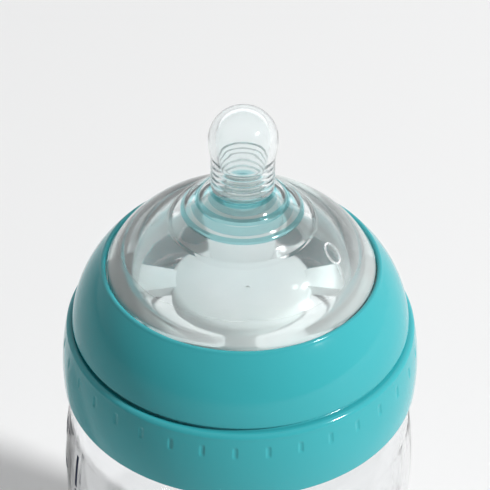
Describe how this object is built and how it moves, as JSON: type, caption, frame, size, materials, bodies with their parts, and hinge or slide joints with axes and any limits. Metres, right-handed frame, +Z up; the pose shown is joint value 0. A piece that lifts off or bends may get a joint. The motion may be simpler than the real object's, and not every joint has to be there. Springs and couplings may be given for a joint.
{
  "type": "baby bottle",
  "caption": "Wide-neck clear baby bottle with a screw ring, a stepped clear teat and an anti-colic insert with a vent tube.",
  "frame": {"origin": "centre of the base, on the surface that the bottle stands on", "axes": "+Z up along the bottle's axis, -Y towards the side seen from the front"},
  "size_m": [0.07, 0.07, 0.15],
  "materials": {
    "clear_bottle": "clear, glossy, slightly blue-grey",
    "teal_ring": "glossy teal",
    "clear_silicone": "very clear, glossy silicone",
    "white_insert": "satin white",
    "white_silicone": "soft translucent white"
  },
  "bodies": {
    "bottle": {"bottle_body": "clear_bottle"},
    "head": {"teat": "clear_silicone", "vent_disc": "white_insert", "hub_base": "white_insert", "star_valve": "white_silicone", "vent_tube": "white_insert", "seal_ring": "white_silicone"},
    "ring": {"screw_ring": "teal_ring"}
  },
  "joints": [
    {"name": "head_lift", "type": "slide", "parent": "bottle", "child": "head", "axis": [0, 0, 1], "range_m": [0, 0.0067]},
    {"name": "ring_turn", "type": "hinge", "parent": "head", "child": "ring", "pos_m": [0, 0, 0.1], "axis": [0, 0, 1], "range_deg": [0, 400]}
  ],
  "couplings": [
    {"joint": "head_lift", "follows": "ring_turn", "m_per_rad": 0.00095493}
  ]
}
